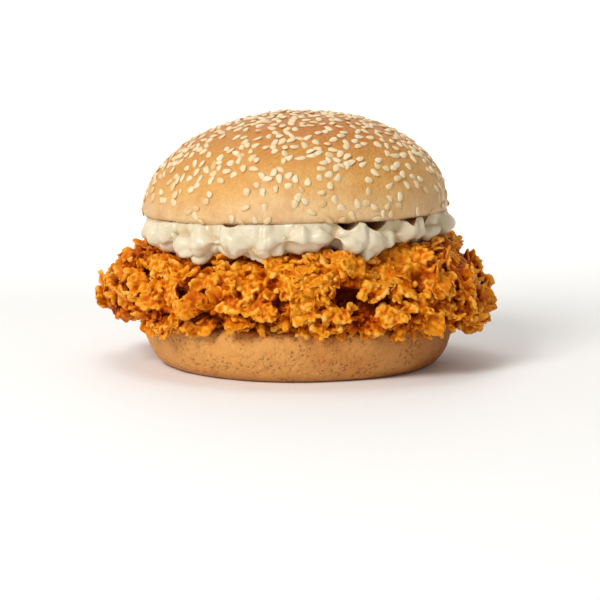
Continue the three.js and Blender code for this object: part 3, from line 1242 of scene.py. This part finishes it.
melting = [core["mesh"], makeBigFlakes(bigFlakes)]
for kind in flakeKinds:
    mesh = makeFlakes(kind)
    if kind["fused"]:
        melting.append(mesh)
    else:
        crustPiece(kind["name"], *mesh)
crustSkin = crustPiece("chicken_crust", *fuse(*joined(melting)))
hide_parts("chicken_fillet")


crumbs = {"count": 180, "size": (0.9, 2.2), "segments": 7, "rings": 6}


def makeCrumbs():
    form, formFaces = seedForm(crumbs["segments"], crumbs["rings"], 0.2)
    picks = rootSpots(crumbs["count"])
    spots, normals = core["spots"][picks], core["normals"][picks]
    count = len(picks)
    out = 1.6 * mm * rng.random(count)[:, None]
    size = between(crumbs["size"], count, 1.6)[:, None, None] * mm
    size = size * rng.uniform(0.6, 1.1, (count, 1, 3))
    turn = unit(rng.normal(0, 1, (count, 3)))
    side = unit(np.cross(turn, normals))
    points = placed(form[None] * size, spots + normals * out, turn, side, np.cross(turn, side))
    points = points + 0.34 * mm * noiseVector(points, 0.9 * mm, 80)
    crustPiece("crust_crumbs", points.reshape(-1, 3), repeatFaces(formFaces, len(form), count))


makeCrumbs()
print("crust flaked")


# Sauce.
sauce = {
    "columns": 560,
    "rows": 84,
    "smoothing": 4,
    "centre": (-1.0 * mm, 0, 46 * mm),
    "ring": (43.5 * mm, 43.5 * mm),
    "lumpSize": 6.4 * mm,
    "lumpDepth": 4.3 * mm,
    "knobSize": 3.4 * mm,
    "knobDepth": 1.4 * mm,
    "swellSize": 10 * mm,
    "swellDepth": 1.1 * mm,
    # how far it may swell past the bun's lip, and how far below the lip it does so, first before
    # the lumps are made and then after
    "firstSwell": (3.0 * mm, 3.8 * mm),
    "lastSwell": (12 * mm, 2.0 * mm),
    # dips below the bun that leave a dark gap: degrees from the front, half width, depth in mm
    "gaps": [(-25.2, 2.4, 0.9), (17.7, 3.6, 1.9), (29.4, 4.6, 2.7), (45.7, 3.2, 2.0), (57.5, 3.2, 2.2)],
}


def sauceFinish():
    f = Finish("cream_sauce")
    stops = [(0.3, (222, 212, 188)), (0.55, (219, 207, 178)), (0.75, (212, 195, 158))]
    colour = f.ramp(f.noise(5, 3, 0.5), stops)
    # painted shade in the grooves between the lumps
    colour = f.mix(f.field("groove"), colour, (206, 181, 138))
    # painted shade: brown where the sauce dips into the dark gap under the bun's lip
    colour = f.mix(f.field("soaked"), colour, (196, 128, 66))
    f.surface(colour, f.span(f.noise(3, 2, 0.5), 0.3, 0.7, 0.2, 0.34), 0.4)
    f.flesh(0.2, 1.4, (1.0, 0.9, 0.74))
    f.bump(f.noise(1.6, 3, 0.5), 0.12, 0.4)
    return f.material


def bearingOf(points):
    return np.degrees(np.arctan2(points[..., 0], -points[..., 1]))


# how far out the bun's lip reaches on each bearing
def lipRadius(points):
    misfit = np.abs(riseOf(domeGrid) - 0.9 * mm) + (domeGrid[..., 2] > 60 * mm)
    lip = domeGrid[np.arange(len(domeGrid)), np.argmin(misfit, 1)]
    order = np.argsort(bearingOf(lip))
    return np.interp(bearingOf(points), bearingOf(lip)[order], fromAxis(lip)[order], period=360)


# keeps the layer's upper edge under the bun's lip; lower down it may swell out
def holdUnderLip(grid, swell, within):
    below = -riseOf(grid)
    most = lipRadius(grid) - 0.3 * mm + swell * smoothStep(0.1 * mm, within, below)
    grid[..., :2] *= np.minimum(1, most / np.maximum(fromAxis(grid), 1e-6))[..., None]


def makeSauce():
    size = sauce
    grid = skinGrid(sauceTree, size["centre"], size["ring"], size)
    holdUnderLip(grid, *size["firstSwell"])
    normals = gridNormals(smoothPoints(grid, 6))
    outer = smoothStep(44.5 * mm, 48.0 * mm, fromAxis(grid))
    warped = grid + 1.8 * mm * noiseVector(grid, 7 * mm, 70)
    first = cellNoise(warped * [1, 1, 0.85], size["lumpSize"], 21)[0]
    lump = size["lumpDepth"] * (np.clip(1 - (first / 0.85) ** 2, 0, 1) - 0.5)
    knob = size["knobDepth"] * (0.5 - cellNoise(warped, size["knobSize"], 22)[0])
    relief = lump + knob + size["swellDepth"] * softNoise(grid, size["swellSize"], 73)
    relief = relief + 0.14 * mm * softNoise(grid, 2.6 * mm, 74)
    bits = chooseBits(grid)
    for bit in bits:
        away = lengthOf(grid - grid[bit])
        relief = relief + 0.45 * mm * np.exp(-((away / (1.9 * mm)) ** 2))
    free = smoothStep(0.3 * mm, 2.8 * mm, -riseOf(grid))  # how little the bun holds it
    # painted shade where the relief dips between the lumps
    groove = outer * 0.9 * smoothStep(0.3 * mm, 2.0 * mm, -relief)
    relief = np.maximum(relief, 0) + np.minimum(relief, 0) * free
    grid = grid + normals * (outer * relief)[..., None]
    below = -riseOf(grid)
    bearing = bearingOf(grid)
    dip = np.zeros(bearing.shape)
    for middle, half, depth in size["gaps"]:
        dip = np.maximum(dip, depth * mm * np.exp(-(((bearing - middle) / half) ** 2)))
    sunk = np.clip(dip - below, 0, None)
    # painted shade for the sauce sunk into the dark gaps under the bun
    soaked = smoothStep(0.3 * mm, 1.6 * mm, sunk) * 0.9
    grid[..., 2] -= sunk
    below = below + sunk
    holdUnderLip(grid, *size["lastSwell"])
    rising = 1 - smoothStep(0.4 * mm, 2.2 * mm, below)
    grid[..., 2] += 1.0 * mm * rising * (1 - smoothStep(0, 0.5 * mm, sunk))
    fields = {"soaked": closedField(soaked), "groove": closedField(groove)}
    layer = makePiece("sauce_layer", *closedGrid(grid), "sauce", sauceFinish(), fields)
    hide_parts("sauce")
    spots = np.array([grid[bit] for bit in bits])
    return spots, np.array([gridNormals(grid)[bit] for bit in bits])


# chopped pickle and onion that show through the sauce
sauceBits = {
    "count": 24,
    "length": (2.0, 4.0),
    "width": (1.6, 2.8),
    "thick": (1.2, 1.8),
    "room": 4.2 * mm,
    "sunk": 0.12 * mm,
}


def chooseBits(grid):
    below = -riseOf(grid)
    seen = (fromAxis(grid) > 49.5 * mm) & (below > 1.6 * mm) & (below < 9 * mm)
    chosen = []
    for place in rng.permutation(np.argwhere(seen)):
        spot = grid[tuple(place)]
        if all(lengthOf(grid[other] - spot) > sauceBits["room"] for other in chosen):
            chosen.append(tuple(place))
        if len(chosen) == sauceBits["count"]:
            break
    return chosen


def bitsFinish():
    f = Finish("chopped_bits")
    stops = [
        (0.0, (218, 208, 178)),
        (0.5, (208, 196, 160)),
        (0.8, (198, 180, 140)),
        (1.0, (186, 148, 100)),
    ]
    tone = f.sum(f.field("tone"), f.span(f.noise(2.2, 3, 0.5), 0.3, 0.7, -0.12, 0.12))
    f.surface(f.ramp(tone, stops), 0.22)
    f.flesh(0.35, 1.6, (0.9, 0.9, 0.5))
    f.bump(f.noise(0.8, 3, 0.5), 0.12, 0.5)
    return f.material


def makeSauceBits(spots, normals):
    form, formFaces = seedForm(12, 8, 0.15)
    form = np.sign(form) * np.abs(2 * form) ** 0.8 / 2  # nearer a chopped block than a drop
    count = len(spots)
    around = unit(np.cross(normals, rng.normal(0, 1, (count, 3))))
    along = np.cross(normals, around)
    size = np.stack([between(sauceBits[key], count) for key in ("length", "width", "thick")], -1) * mm
    depth = -sauceBits["sunk"] - size[:, 2:] / 2 + 0.1 * mm * rng.normal(0, 1, (count, 1))
    points = placed(form[None] * size[:, None], spots + normals * depth, around, along, normals)
    points = points + 0.22 * mm * noiseVector(points, 1.2 * mm, 90)
    faces = repeatFaces(formFaces, len(form), count)
    tone = np.repeat(rng.random(count), len(form))
    makePiece("sauce_bits", points, faces, "sauce_bits", bitsFinish(), {"tone": tone})


makeSauceBits(*makeSauce())
print("sauce poured")


for piece in bpy.context.scene.objects:
    if piece.type == "MESH" and not piece.hide_render:
        print(piece.name, triangleCount(piece.data))
